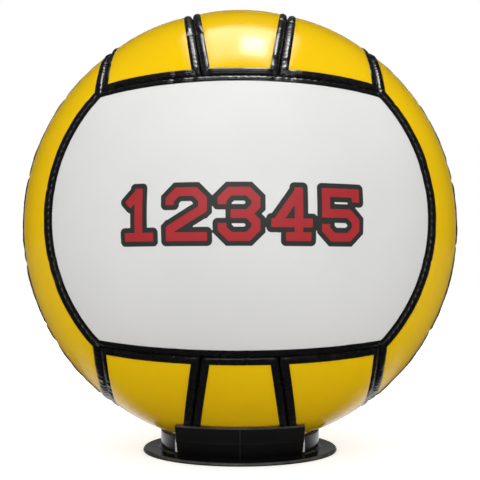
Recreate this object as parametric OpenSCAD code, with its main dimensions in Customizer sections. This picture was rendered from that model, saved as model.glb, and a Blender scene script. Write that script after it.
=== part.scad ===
// Water polo ball on its display stand.
// The ball is an inflated bladder in a cloth lining, covered with sewn panels. Every seam lies on a circle
// of the sphere, so each panel is the shell cut by cones and planes, and a black edge strip runs round it.
// Millimetres, +Z up, the large front panel faces -Y. The origin is on the table, under the ball's centre.

/* [Ball] */
// Diameter over the panels
ball_d = 220; // [214:1:226]
// Thickness of a panel, with its foam backing
cover_t = 4.2; // [3.6:0.1:6]
// Thickness of the cloth lining
lining_t = 1.2; // [0.6:0.1:2.5]
// Thickness of the rubber bladder
bladder_t = 1; // [0.6:0.1:2]

/* [Seams] */
// Width of the black strip along the edge of a panel
edge_w = 3.6; // [2.5:0.1:6]
// Depth of the groove at a seam
groove_d = 3.1; // [2:0.1:3.4]
// Gap between two sewn panels
seam_gap = 0.1; // [0.05:0.05:0.3]

/* [Front panel] */
// Angle from the front to the seam above and below, at mid-length
front_rise = 33.5; // [31:0.1:38]
// Angle from the front to the seam at either side, at mid-height
front_reach = 52; // [49:0.1:56]
// Sideways angle from the front to a corner
front_corner_turn = 42.2; // [40:0.1:46]
// Upward angle from the level to a corner
front_corner_lift = 31.5; // [30:0.1:36]

/* [Strip panels] */
// Angle from the middle of a group of three strips to its long side
group_half_angle = 35.5; // [33:0.1:38]
// Angle from the middle of a group to the ends of its strips, where the end width below is measured
group_end_angle = 54.6; // [52:0.1:57]
// Width of a middle strip at mid-length
strip_mid_w = 48.9; // [42:0.1:54]
// Width of a middle strip at its ends
strip_end_w = 34.1; // [30:0.1:40]

/* [Valve] */
// Diameter of the valve body's tube
valve_d = 11; // [9:0.1:14]
// Diameter of the hole that takes the plug
plug_d = 6; // [5:0.1:7.5]
// Diameter of the plug's head, inside the bladder
plug_head_d = 10; // [8:0.5:14]
// Thickness of the plug's head
plug_head_t = 2; // [1:0.1:4]
// Diameter of the hole for an inflating needle
needle_d = 2.2; // [1.6:0.1:2.6]
// Depth of the hole for an inflating needle
needle_depth = 6; // [4:0.5:7]
// Diameter of the valve body's flange, inside the bladder
valve_flange_d = 26; // [20:1:34]
// Thickness of the valve body's flange
valve_flange_t = 1.6; // [1:0.1:3]

/* [Stand] */
// Diameter of the stand's foot
foot_d = 99; // [90:1:120]
// Thickness of the foot
foot_t = 1.7; // [1.5:0.1:3]
// Outer diameter of the low wall
wall_d = 81; // [70:1:86]
// Thickness of the walls
wall_t = 1.5; // [1.2:0.1:2.5]
// Gap between the ball and the table
under_ball = 3.9; // [2.5:0.1:6]
// Height of a tall tab
tab_h = 19; // [16:0.1:21]
// Width of a tall tab
tab_w = 60.6; // [50:0.1:64]
// Slit between a tall tab and the low wall
tab_slit = 1.4; // [1:0.1:3]
// Clearance between the ball and the stand
seat_clear = 0.3; // [0.2:0.05:0.5]

/* [Colours] */
// Strip panels
strip_colour = "#f2c800";
// Front panel
front_colour = "#ececea";
// Edges and stand
black_colour = "#161616";
// Lining
cloth_colour = "#d9d4c6";
// Bladder
bladder_colour = "#5a4a44";
// Valve
valve_colour = "#2b2b2e";

/* [Hidden] */
$fn = 144;

// Gap between the layers of the ball, between an edge strip and its panel, and where strips meet
layer_gap = 0.1;
// How far a cut runs past what it cuts
over = 2;
// Distance from the ball's centre to the tips of the cones that cut the seams. The walls of a seam lean by
// a few degrees so that no two cones share a tip.
tip_d = 10;
// Straight pieces that the roll of an edge is made of
roll_steps = 8;
// How far a strip is made past its corners before it is mitred, in degrees
strip_over = 3;
// Gap between the plug and the tube that it is pressed into
plug_gap = 0.05;
// How far the plug's face lies below the ball's surface
plug_sink = 0.4;
// Chamfer at the mouth of the needle hole
needle_chamfer = 0.4;
// A turn about a cube's diagonal that takes each axis to the next, in degrees
axis_turn = 120;

ball_r = ball_d / 2;
shell_r = ball_r - cover_t;
lining_r = shell_r - layer_gap;
bladder_r = lining_r - lining_t - layer_gap;
air_r = bladder_r - bladder_t;
far_r = ball_r + over;
ball_z = ball_r + under_ball;

left = [-1, 0, 0];
right = [1, 0, 0];
front = [0, -1, 0];
back = [0, 1, 0];
bottom = [0, 0, -1];
top = [0, 0, 1];

function unit(v) = v / norm(v);
function turned(a, b, angle) = cos(angle) * a + sin(angle) * b;

// The six faces of the ball lie as a cube's do. Strips run along one axis of a face and lie side by side
// across the other, and both change round from one face to the next.
function along(face) = [abs(face[1]), abs(face[2]), abs(face[0])];
function across(face) = [abs(face[2]), abs(face[0]), abs(face[1])];

// Where three seams meet. The rear corners are a cube's, and the front ones belong to the front panel.
function corner(v) =
    v[1] > 0
        ? unit(v)
        : turned(turned(front, [v[0], 0, 0], front_corner_turn), [0, 0, v[2]], front_corner_lift);

// The middle of the seam between two faces, measured from the face whose long side it is
function seam_middle(a, b) =
    a == front ? turned(a, b, b[0] == 0 ? front_rise : front_reach)
    : b == front ? seam_middle(b, a)
    : across(a) * b == 0 ? seam_middle(b, a)
    : turned(a, b, group_half_angle);

// A seam is a circle on the ball: its axis, its angle from the axis, where on the axis its walls would
// meet, and the direction of the seam's middle. This one is the circle through two corners and a middle.
function seam(a, b) =
    let (
        c = cross(a, b),
        middle = seam_middle(a, b),
        n = unit(cross(corner(a + b + c) - middle, corner(a + b - c) - middle)),
        axis = n * middle < 0 ? -n : n
    )
    [axis, acos(axis * middle), tip_d, middle];

// The seam between a middle strip and the strip beside it lies in a plane, which its walls follow
function strip_seam(face, beside) =
    let (
        mid_x = strip_mid_w / 2,
        end_x = strip_end_w / 2,
        mid_z = sqrt(ball_r * ball_r - mid_x * mid_x),
        end_z = ball_r * cos(group_end_angle),
        tilt = atan2(mid_x - end_x, mid_z - end_z),
        axis_d = mid_x * cos(tilt) - mid_z * sin(tilt)
    )
    [turned(beside, -face, tilt), acos(axis_d / ball_r), axis_d, turned(face, beside, asin(mid_x / ball_r))];

// A panel's side is a seam, and 1 if the panel lies inside the circle or -1 if it lies outside
function side(circle, middle) = concat(circle, [circle[0] * middle > cos(circle[1]) ? 1 : -1]);

// The middle of a strip, which is -1, 0 or 1 across its face
function strip_middle(face, place) =
    turned(face, across(face), place * (group_half_angle + asin(strip_mid_w / ball_d)) / 2);

// The four sides of a strip in order round it: an end, a long side, the other end, the other long side
function strip_sides(face, place) =
    let (
        x = across(face),
        circles = [
            seam(face, along(face)),
            place > 0 ? seam(face, x) : strip_seam(face, place < 0 ? -x : x),
            seam(face, -along(face)),
            place < 0 ? seam(face, -x) : strip_seam(face, place > 0 ? x : -x)
        ]
    )
    [for (c = circles) side(c, strip_middle(face, place))];

FRONT = [for (next = [left, top, right, bottom]) side(seam(front, next), front)];

// Every face with strips: its direction, its name and the names of its strips
FACES = [
    [top, "top", ["left", "middle", "right"]],
    [bottom, "bottom", ["left", "middle", "right"]],
    [left, "left", ["front", "middle", "back"]],
    [right, "right", ["front", "middle", "back"]],
    [back, "back", ["bottom", "middle", "top"]]
];
STRIPS = [
    for (f = FACES) for (place = [-1, 0, 1])
        [str(f[1], "_", f[2][place + 1]), strip_sides(f[0], place), f[0]]
];
valve_strip = "back_middle";

// Turns the Z axis into a direction
module aim(n) {
    rotate([0, acos(n[2]), atan2(n[1], n[0])]) children();
}

// The angle about an aimed axis at which a direction lies, from the aimed X axis
function angle_about(n, v) =
    let (polar = acos(n[2]), turn = atan2(n[1], n[0]))
    atan2(
        v * [-sin(turn), cos(turn), 0],
        v * [cos(polar) * cos(turn), cos(polar) * sin(turn), -sin(polar)]
    );
function within_half_turn(angle) = angle > 180 ? angle - 360 : angle < -180 ? angle + 360 : angle;

// Lifts a piece that is made about the ball's centre to its place over the stand
module in_ball() {
    translate([0, 0, ball_z]) children();
}

// A point of a half section through a side's axis: u from the seam into the panel, and h above the surface
// along the seam's wall
function by_seam(s, u, h) =
    let (at = ball_r * [sin(s[1]), cos(s[1])])
    at + h * unit(at - [0, s[2]]) + u * s[4] * [-cos(s[1]), sin(s[1])];

// Half of a section through all that lies further into the panel than inset from a seam
function side_section(s, inset) =
    let (
        low = by_seam(s, inset, 0),
        rim = by_seam(s, inset, over),
        slope = (rim[1] - low[1]) / (rim[0] - low[0]),
        tip = [0, low[1] - low[0] * slope]
    )
    concat([tip, rim], s[4] > 0
        ? [[rim[0], far_r + over], [0, far_r + over]]
        : [[far_r + over, rim[1]], [far_r + over, -far_r], [0, -far_r]]);

module shell(outer_r, inner_r) {
    difference() {
        sphere(outer_r);
        sphere(inner_r);
    }
}

// Cuts its children to what lies inside a list of sides, one after another
module within(sides, inset) {
    last = len(sides) - 1;
    if (last < 0) children();
    else intersection() {
        within([for (i = [0:1:last - 1]) sides[i]], inset) children();
        aim(sides[last][0]) rotate_extrude() polygon(side_section(sides[last], inset));
    }
}

// A side as it lies when the left face is turned to the bottom. The right face is taken as its mirror
// image, and the other faces stay as they are.
function laid(face, s) =
    let (lay = function (v) face[0] == 0 ? v : [v[1], v[2], -face[0] * v[0]])
    [lay(s[0]), s[1], s[2], lay(s[3]), s[4]];

// Cuts its children at one end of a panel. The circle of an end crosses the panel's far half, so that half
// is kept whole.
module ended(face, s, inset) {
    size = 4 * far_r;
    intersection() {
        children();
        union() {
            aim(s[0]) rotate_extrude() polygon(side_section(s, inset));
            aim(unit((s[3] * face) * face - s[3])) translate([-size / 2, -size / 2, layer_gap / 2]) cube(size);
        }
    }
}

// A panel inside its edge strip: the shell cut at its long sides, and then at its ends
module panel(face, sides) {
    turned_back = axis_turn * abs(face[0]);
    laid_face = face[0] == 0 ? face : bottom;
    lies = [for (s = sides) laid(face, s)];
    inset = edge_w + layer_gap;
    in_ball() mirror([max(face[0], 0), 0, 0]) rotate(turned_back, [1, 1, 1])
        ended(laid_face, lies[2], inset) ended(laid_face, lies[0], inset)
            within([lies[1], lies[3]], inset) shell(ball_r, shell_r);
}

// The section of an edge strip: it rolls down from the surface into the groove, along a quarter of an
// ellipse, and then follows the seam
function strip_section(s) =
    let (start = seam_gap / 2)
    concat(
        [by_seam(s, edge_w, -cover_t), by_seam(s, start, -cover_t)],
        [
            for (i = [0:roll_steps])
                let (a = 90 * i / roll_steps)
                by_seam(s, start + (edge_w - start) * (1 - cos(a)), groove_d * (sin(a) - 1))
        ]
    );

// Where two sides of a panel meet, as a direction
function meeting(a, b) =
    let (
        k = a[0] * b[0],
        ca = cos(a[1]),
        cb = cos(b[1]),
        s = 1 - k * k,
        pa = (ca - k * cb) / s,
        pb = (cb - k * ca) / s,
        out = sqrt((1 - pa * pa - pb * pb - 2 * pa * pb * k) / s) * cross(a[0], b[0])
    )
    pa * a[0] + pb * b[0] + (out * (a[3] + b[3]) > 0 ? out : -out);

// The direction into the panel from a point on one of its sides
function inward(s, p) = s[4] * unit(s[0] - (s[0] * p) * p);

// Keeps what lies nearer to one side than to the next, beyond a mitre at their corner
module mitred(s, next) {
    p = meeting(s, next);
    size = 3 * ball_r;
    intersection() {
        children();
        aim(unit(inward(next, p) - inward(s, p)))
            translate([-size / 2, -size / 2, layer_gap / 2]) cube(size);
    }
}

// The edge strip along one side of a panel, mitred to the strips before and after it
module edge_strip(s, before, after) {
    mid = angle_about(s[0], s[3]);
    turns = [for (next = [before, after]) within_half_turn(angle_about(s[0], meeting(s, next)) - mid)];
    start = min(turns) - strip_over;
    in_ball() mitred(s, before) mitred(s, after) aim(s[0]) rotate(mid + start)
        rotate_extrude(angle = max(turns) + strip_over - start) polygon(strip_section(s));
}

// The black strips round one panel
module edge(sides) {
    color(black_colour)
        for (i = [0:3]) edge_strip(sides[i], sides[(i + 3) % 4], sides[(i + 1) % 4]);
}

module panel_front() {
    color(front_colour) panel(front, FRONT);
}

module edge_front() {
    edge(FRONT);
}

module valve_hole() {
    aim(back) cylinder(h = far_r, r = valve_d / 2 + layer_gap);
}

module strip_panel(strip) {
    color(strip_colour) difference() {
        panel(strip[2], strip[1]);
        if (strip[0] == valve_strip) in_ball() valve_hole();
    }
}

module lining() {
    color(cloth_colour) in_ball() difference() {
        shell(lining_r, lining_r - lining_t);
        valve_hole();
    }
}

module bladder() {
    color(bladder_colour) in_ball() difference() {
        shell(bladder_r, air_r);
        valve_hole();
    }
}

// A tube from inside the bladder to the ball's surface, on a flange that is bonded inside the bladder
module valve_body() {
    flange_r = air_r - layer_gap;
    root_r = flange_r - valve_flange_t;
    color(valve_colour) in_ball() difference() {
        union() {
            intersection() {
                shell(flange_r, root_r);
                aim(back) cylinder(h = far_r, d = valve_flange_d);
            }
            intersection() {
                aim(back) cylinder(h = far_r, d = valve_d);
                shell(ball_r, root_r);
            }
        }
        aim(back) cylinder(h = far_r, d = plug_d);
    }
}

// A plug in the tube: a head inside the bladder, and a needle hole from the outside
module valve_plug() {
    stem_d = plug_d - 2 * plug_gap;
    head_y = sqrt(pow(air_r - layer_gap - valve_flange_t, 2) - pow(plug_head_d / 2, 2)) - layer_gap;
    face_y = ball_r - plug_sink;
    color(valve_colour) in_ball() aim(back) rotate_extrude() polygon([
        [0, head_y - plug_head_t],
        [plug_head_d / 2, head_y - plug_head_t],
        [plug_head_d / 2, head_y],
        [stem_d / 2, head_y],
        [stem_d / 2, face_y],
        [needle_d / 2 + needle_chamfer, face_y],
        [needle_d / 2, face_y - needle_chamfer],
        [needle_d / 2, face_y - needle_chamfer - needle_depth],
        [0, face_y - needle_chamfer - needle_depth]
    ]);
}

// Where a round rim of the stand just clears the ball: its distance from the middle at a height over the
// table, and its height at a distance from the middle
rim_d = ball_r + seat_clear + wall_t / 2;
function rim_x(z) = sqrt(pow(rim_d, 2) - pow(ball_z - z, 2));
function rim_z(x) = ball_z - sqrt(pow(rim_d, 2) - x * x);

// A wall in section, from a point on the foot to the middle of its round rim
module wall_section(root, rim) {
    run = rim - root;
    translate(root) rotate(-atan2(run[0], run[1])) translate([-wall_t / 2, 0])
        square([wall_t, norm(run)]);
    translate(rim) circle(d = wall_t, $fn = 36);
}

// The foot and the low wall, which carries the ball at its sides, and a tall tab front and back that leans
// out along the ball
module display_stand() {
    wall_x = (wall_d - wall_t) / 2;
    tab_z = tab_h - wall_t / 2;
    gap_w = tab_w + 2 * tab_slit;
    color(black_colour) {
        rotate_extrude() {
            translate([wall_d / 2 - wall_t, 0])
                square([(foot_d - wall_d) / 2 + wall_t - foot_t / 2, foot_t]);
            translate([(foot_d - foot_t) / 2, foot_t / 2]) circle(d = foot_t, $fn = 36);
        }
        difference() {
            rotate_extrude() wall_section([wall_x, foot_t / 2], [wall_x, rim_z(wall_x)]);
            translate([-gap_w / 2, -foot_d / 2, foot_t]) cube([gap_w, foot_d, tab_h]);
        }
        intersection() {
            rotate_extrude() intersection() {
                wall_section([wall_x, 0], [rim_x(tab_z), tab_z]);
                translate([0, foot_t / 2]) square([foot_d, tab_h]);
            }
            translate([-tab_w / 2, -foot_d, 0]) cube([tab_w, 2 * foot_d, 2 * tab_h]);
        }
    }
}

panel_front();
edge_front();
for (s = STRIPS) {
    strip_panel(s);
    edge(s[1]);
}
lining();
bladder();
valve_body();
valve_plug();
display_stand();
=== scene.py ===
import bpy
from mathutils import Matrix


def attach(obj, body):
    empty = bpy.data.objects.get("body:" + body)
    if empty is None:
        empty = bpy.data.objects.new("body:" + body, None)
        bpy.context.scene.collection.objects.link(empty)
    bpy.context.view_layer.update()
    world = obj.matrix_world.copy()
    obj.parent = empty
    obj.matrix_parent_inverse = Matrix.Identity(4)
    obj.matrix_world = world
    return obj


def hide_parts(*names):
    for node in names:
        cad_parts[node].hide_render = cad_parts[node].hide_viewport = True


bl_info = {
    "name": "Water Polo Ball on Stand",
    "version": (1, 0, 0),
    "blender": (4, 5, 0),
    "location": "View3D > Sidebar > Ball",
    "description": "A sewn water polo ball on a moulded display stand, with its floor, lamps and camera",
    "category": "Add Mesh",
}

from itertools import combinations
from math import acos, asin, atan2, cos, pi, radians, sin, sqrt, tan

import bmesh
import bpy
import numpy as np
from bpy.props import FloatProperty, FloatVectorProperty, PointerProperty
from mathutils import Euler

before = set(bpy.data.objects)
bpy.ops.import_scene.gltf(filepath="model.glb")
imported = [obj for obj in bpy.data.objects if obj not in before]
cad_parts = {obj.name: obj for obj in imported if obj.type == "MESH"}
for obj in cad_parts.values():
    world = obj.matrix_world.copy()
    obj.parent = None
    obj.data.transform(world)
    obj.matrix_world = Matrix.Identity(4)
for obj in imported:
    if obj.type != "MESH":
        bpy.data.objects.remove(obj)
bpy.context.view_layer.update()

FACES = {name: np.array(axis, float) for name, axis in (
    ("front", (0, -1, 0)), ("top", (0, 0, 1)), ("bottom", (0, 0, -1)),
    ("left", (-1, 0, 0)), ("right", (1, 0, 0)), ("back", (0, 1, 0)))}
STRIP_NAMES = {
    "top": ("left", "middle", "right"),
    "bottom": ("left", "middle", "right"),
    "left": ("front", "middle", "back"),
    "right": ("front", "middle", "back"),
    "back": ("bottom", "middle", "top"),
}
PANELS = ["front"] + [f"{face}_{strip}" for face, strips in STRIP_NAMES.items() for strip in strips]

# The seams, as the CAD has them
FRONT_RISE, FRONT_REACH = radians(33.5), radians(52.0)
FRONT_CORNER_TURN, FRONT_CORNER_LIFT = radians(42.2), radians(31.5)
GROUP_HALF_ANGLE, GROUP_END_ANGLE = radians(35.5), radians(54.6)
STRIP_MID_WIDTH, STRIP_END_WIDTH = 0.0489, 0.0341
COVER_THICKNESS, SEAM_GAP = 0.0042, 0.0001

# Points across and along a panel, and the distance between points round an edge
FRONT_GRID, STRIP_GRID, VALVE_GRID = (150, 110), (64, 190), (100, 260)
EDGE_SPACING = 0.0007

# The cover's relief: where each form has its middle, how far it fades out, how deep it is, its pitch
SINK_REACH = 0.006
PUCKER_INSET, PUCKER_REACH, PUCKER_FADE, PUCKER_BEYOND = 0.0011, 0.0011, 0.0022, 0.10
CREST_INSET, CREST_REACH = 0.0024, 0.0016
LUMP, LUMP_PITCH = 0.00020, 0.036
WRINKLE, WRINKLE_PITCH, WRINKLE_POWER = 0.0006, 0.041, 26
PINCH, PINCH_REACH, PINCH_DEPTH = np.array([-0.195, -0.593, 0.781]), 0.0036, 0.0010
SEAT_FROM, SEAT_TO = 0.80, 0.85
VALVE_PANEL, VALVE_HOLE, VALVE_REACH, VALVE_DIP = "back_middle", 0.0056, 0.0024, 0.0006

# A stitch: its radius, its depth, how far its ends lie below its middle, half its length across the seam
# and along it, and the bare length at each end of a seam
THREAD_RADIUS, THREAD_DEPTH, THREAD_SAG = 0.00028, 0.00225, 0.0004
THREAD_ACROSS, THREAD_ALONG, THREAD_FREE = 0.00085, 0.0006, 0.004

# The print: half a stroke, the outline round it, how high each ink stands, and the grid's cell
STROKE_HALF, OUTLINE, OUTLINE_LIFT, FACE_LIFT, PRINT_ROOT, PRINT_CELL = 0.0018, 0.0021, 4e-5, 8e-5, 2e-4, 0.00032


def amount(name, default, description, unit="LENGTH"):
    """A number that the user can change."""
    return FloatProperty(name=name, description=description, default=default, unit=unit)


def tint(name, default, description):
    """A colour that the user can change."""
    return FloatVectorProperty(name=name, description=description, default=default, subtype="COLOR", size=3)


class BallSettings(bpy.types.PropertyGroup):
    """Sizes and colours of the ball"""

    radius: amount("Radius", 0.110, "Radius of the inflated ball")
    height: amount("Centre height", 0.1139, "Height of the ball's centre over the table")
    edge_width: amount("Edge width", 0.0040, "Width of the black edge of a panel")
    groove: amount("Groove depth", 0.0030, "How deep an edge rolls down to the seam")
    bulge: amount("Edge bulge", 0.0005, "How far a rolled edge is stuffed out")
    sink: amount("Panel sink", 0.00035, "How far a panel dips towards its edge")
    pucker: amount("Pucker depth", 0.00028, "Depth of the dents that the stitches pull")
    stitch: amount("Stitch length", 0.0032, "Distance from one stitch to the next")
    yellow: tint("Strip colour", (0.95, 0.60, 0.001), "Colour of the strip panels")
    white: tint("Front colour", (0.80, 0.80, 0.79), "Colour of the front panel")
    black: tint("Edge colour", (0.006, 0.006, 0.0065), "Colour of the edges")
    ink: tint("Number colour", (0.47, 0.017, 0.023), "Colour of the player's number")
    ink_line: tint("Outline colour", (0.034, 0.037, 0.034), "Colour of the number's outline")


class StandSettings(bpy.types.PropertyGroup):
    """Sizes and colour of the stand"""

    foot_radius: amount("Foot radius", 0.0495, "Outer radius of the flat foot")
    foot_thickness: amount("Foot thickness", 0.0017, "Thickness of the foot")
    wall_radius: amount("Wall radius", 0.0405, "Outer radius of the low wall")
    wall_thickness: amount("Wall thickness", 0.0015, "Thickness of the walls")
    tab_height: amount("Tab height", 0.019, "Height of the tall tabs over the table")
    tab_width: amount("Tab width", 0.0606, "Width of a tall tab")
    slit: amount("Slit", 0.0014, "Gap between a tab and the low wall")
    clearance: amount("Clearance", 0.0003, "Gap between a rim and the ball")
    colour: tint("Colour", (0.011, 0.011, 0.0115), "Colour of the moulded plastic")


class StageSettings(bpy.types.PropertyGroup):
    """Camera and lamps"""

    distance: amount("Camera distance", 0.499, "How far in front of the ball the camera stands")
    camera_height: amount("Camera height", 0.0853, "Height of the camera over the table")
    tilt: FloatProperty(name="Tilt", description="How far the camera looks up", default=radians(2.53), subtype="ANGLE")
    lens: amount("Lens", 72.12, "Focal length of the camera", "CAMERA")
    key: amount("Front lamp", 12.1, "Power of the wide lamp over the camera", "POWER")
    strip: amount("Strip lamp", 2.4, "Power of the narrow lamp whose glint runs along the edges", "POWER")
    low: amount("Low strip lamp", 2.0, "Power of the low lamp in front that glints on the rims", "POWER")
    window: amount("Overhead panel", 3.7, "Strength of the glowing panel over the ball", "NONE")
    room: amount("Room light", 0.78, "Strength of the light that comes from all round", "NONE")


# Surfaces


def unit(v):
    """A vector, or an array of vectors, scaled to length one."""
    return v / np.linalg.norm(v, axis=-1, keepdims=True)


def turned(a, b, angle):
    """The direction an angle away from a, towards b at a right angle to it: a cos + b sin."""
    return cos(angle) * a + sin(angle) * b


def grid(rows, cols, closed):
    """Corners of the quads of a grid of points, as rows and columns that run on past a closed line. Each
    row is a closed line, and if the grid is closed its last row joins its first."""
    r = np.arange(rows if closed else rows - 1)[:, None, None] + np.array([0, 0, 1, 1])
    c = np.arange(cols)[None, :, None] + np.array([0, 1, 1, 0])
    return tuple(line.reshape(-1, 4) for line in np.broadcast_arrays(r, c))


def grid_faces(rows, cols, closed):
    """Quads of such a grid of points, stored row by row."""
    r, c = grid(rows, cols, closed)
    return (r % rows) * cols + c % cols


def outward(points, faces):
    """The faces of a closed shell turned to point out of it: its volume, the sum of the signed volumes
    between the faces and the origin, is then above zero. Faces that do so are given back as they came."""
    p = points - points.mean(0)
    total = 0.0
    for f in faces:
        a = p[f[:, 0]]
        for k in range(1, f.shape[1] - 1):
            total += np.einsum("ij,ij->i", a, np.cross(p[f[:, k]], p[f[:, k + 1]])).sum()
    return faces if total > 0 else [f[:, ::-1] for f in faces]


def skin(outer, inner, keep):
    """A closed shell between two grids of points over the cells that are kept: both faces, and a rim along
    every border. Returns its points, its faces and each point's place in the grid."""
    rows, cols = outer.shape[:2]
    ids = np.arange(rows * cols).reshape(rows, cols)
    corners = [ids[:-1, :-1], ids[:-1, 1:], ids[1:, 1:], ids[1:, :-1]]
    wide = np.pad(keep, 1)
    beside = [wide[:-2, 1:-1], wide[1:-1, 2:], wide[2:, 1:-1], wide[1:-1, :-2]]
    front = np.stack([c[keep] for c in corners], -1)
    shell = [front, front[:, ::-1] + rows * cols]
    for k, other in enumerate(beside):
        a, b = corners[k][keep & ~other], corners[(k + 1) % 4][keep & ~other]
        shell.append(np.stack([b, a, a + rows * cols, b + rows * cols], -1))
    used, faces = np.unique(np.concatenate(shell), return_inverse=True)
    points = np.concatenate([outer.reshape(-1, 3), inner.reshape(-1, 3)])[used]
    return points, outward(points, [faces.reshape(-1, 4)]), used % (rows * cols)


def border(keep):
    """Which points of a grid touch both a kept cell and a dropped one, or the grid's own border."""
    wide = np.pad(keep, 1).astype(int)
    around = wide[:-1, :-1] + wide[:-1, 1:] + wide[1:, 1:] + wide[1:, :-1]
    return (around > 0) & (around < 4)


def join(shells):
    """Several (points, faces) shells as one."""
    points, faces, start = [], [], 0
    for p, f in shells:
        points.append(p)
        faces += [q + start for q in f]
        start += len(p)
    return np.concatenate(points), faces


def in_scene(name, data):
    """A new object, linked to the scene."""
    made = bpy.data.objects.new(name, data)
    bpy.context.scene.collection.objects.link(made)
    return made


def piece(name, points, faces, material, body, slot, replaces=(), uv=None, edge_distance=None, sharp=35):
    """A mesh object from an array of points and arrays of faces, riding on a body."""
    mesh = bpy.data.meshes.new(name)
    mesh.vertices.add(len(points))
    mesh.vertices.foreach_set("co", np.asarray(points, np.float32).ravel())
    loops = np.concatenate([f.ravel() for f in faces]).astype(np.int32)
    sizes = np.concatenate([np.full(len(f), f.shape[1]) for f in faces])
    mesh.loops.add(len(loops))
    mesh.loops.foreach_set("vertex_index", loops)
    mesh.polygons.add(len(sizes))
    mesh.polygons.foreach_set("loop_start", (np.cumsum(sizes) - sizes).astype(np.int32))
    mesh.update(calc_edges=True)
    if uv is not None:
        mesh.uv_layers.new(name="UVMap").data.foreach_set("uv", np.asarray(uv, np.float32).ravel())
    if edge_distance is not None:
        layer = mesh.attributes.new("edge_distance", "FLOAT", "POINT")
        layer.data.foreach_set("value", np.asarray(edge_distance, np.float32))
    mesh.validate()
    mesh.polygons.foreach_set("use_smooth", np.ones(len(mesh.polygons), bool))
    if sharp:
        mesh.set_sharp_from_angle(angle=radians(sharp))
    mesh.materials.append(material)
    made = in_scene(name, mesh)
    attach(made, body)
    if replaces:
        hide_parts(*replaces)
    return made


def weld(made):
    """Merges points that coincide, such as those at a pole."""
    mesh = bmesh.new()
    mesh.from_mesh(made.data)
    bmesh.ops.remove_doubles(mesh, verts=mesh.verts, dist=1e-6)
    bmesh.ops.recalc_face_normals(mesh, faces=mesh.faces)
    mesh.to_mesh(made.data)
    mesh.free()
    made.data.set_sharp_from_angle(angle=radians(35))


# Seams of the ball


def along(face):
    """The axis that the strips of a face run along."""
    return np.abs(np.roll(face, -1))


def across(face):
    """The axis that the strips of a face lie side by side across."""
    return np.abs(np.roll(face, 1))


def corner(v):
    """Where three seams meet: a cube's corner at the back, and the front panel's own corner."""
    if v[1] > 0:
        return unit(v)
    level = turned(FACES["front"], np.array([v[0], 0.0, 0.0]), FRONT_CORNER_TURN)
    return turned(level, np.array([0.0, 0.0, v[2]]), FRONT_CORNER_LIFT)


def seam_middle(a, b):
    """The middle of the seam between two faces, measured from the face whose long side it is."""
    if np.array_equal(a, FACES["front"]):
        return turned(a, b, FRONT_RISE if b[0] == 0 else FRONT_REACH)
    if np.array_equal(b, FACES["front"]) or across(a) @ b == 0:
        return seam_middle(b, a)
    return turned(a, b, GROUP_HALF_ANGLE)


def seam(a, b):
    """The circle through two corners and a seam's middle: its axis, its angle from the axis, its middle."""
    c = np.cross(a, b)
    middle = seam_middle(a, b)
    n = unit(np.cross(corner(a + b + c) - middle, corner(a + b - c) - middle))
    n = -n if n @ middle < 0 else n
    return n, acos(n @ middle), middle


def strip_seam(face, beside, radius):
    """The seam beside a middle strip, which lies in a plane that leans in towards the strip's ends."""
    mid_x, end_x = STRIP_MID_WIDTH / 2, STRIP_END_WIDTH / 2
    mid_z, end_z = sqrt(radius**2 - mid_x**2), radius * cos(GROUP_END_ANGLE)
    tilt = atan2(mid_x - end_x, mid_z - end_z)
    distance = mid_x * cos(tilt) - mid_z * sin(tilt)
    middle = turned(face, beside, asin(mid_x / radius))
    return turned(beside, -face, tilt), acos(distance / radius), middle


class Side:
    """One side of a panel: a seam's circle, and 1 if the panel lies inside it or -1 if outside."""

    def __init__(self, circle, inside_point, radius):
        self.axis, self.angle, self.middle = circle
        self.sign = 1.0 if self.axis @ inside_point > cos(self.angle) else -1.0
        self.radius = radius
        self.x = unit(self.middle - (self.middle @ self.axis) * self.axis)
        self.y = np.cross(self.axis, self.x)

    def distance(self, p):
        """How far directions p lie from the seam, into the panel. A circle that holds the panel counts only
        on its near half, because its far half may cross the panel."""
        inside = self.sign * (self.angle - np.arccos(np.clip(p @ self.axis, -1, 1))) * self.radius
        return np.where((self.sign > 0) & (p @ self.x < 0), self.radius, inside)

    def turn(self, p):
        """The angle about the seam's axis, from the seam's middle."""
        return np.arctan2(p @ self.y, p @ self.x)

    def station(self, p):
        """The length along the seam from its middle."""
        return self.turn(p) * sin(self.angle) * self.radius

    def point(self, inset, turn):
        """The direction at an inset from the seam and a turn from its middle."""
        a = self.angle - self.sign * inset / self.radius
        flat = np.cos(turn)[..., None] * self.x + np.sin(turn)[..., None] * self.y
        return np.cos(a)[..., None] * self.axis + np.sin(a)[..., None] * flat


def meeting(a, b, inset):
    """Where two sides of a panel meet at an inset from both: the direction p with p.a = cos(angle a),
    p.b = cos(angle b) and length one, on the panel's side."""
    inset = np.asarray(inset, float)
    ca, cb = (np.cos(s.angle - s.sign * inset / s.radius) for s in (a, b))
    k = a.axis @ b.axis
    pa, pb = (ca - k * cb) / (1 - k * k), (cb - k * ca) / (1 - k * k)
    out = np.sqrt((1 - pa * pa - pb * pb - 2 * pa * pb * k) / (1 - k * k))
    normal = np.cross(a.axis, b.axis)
    normal = normal if normal @ (a.middle + b.middle) > 0 else -normal
    return pa[..., None] * a.axis + pb[..., None] * b.axis + out[..., None] * normal


def strip_middle(face, place, radius):
    """The middle of a strip, which is -1, 0 or 1 across its face."""
    return turned(face, across(face), place * (GROUP_HALF_ANGLE + asin(STRIP_MID_WIDTH / 2 / radius)) / 2)


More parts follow.
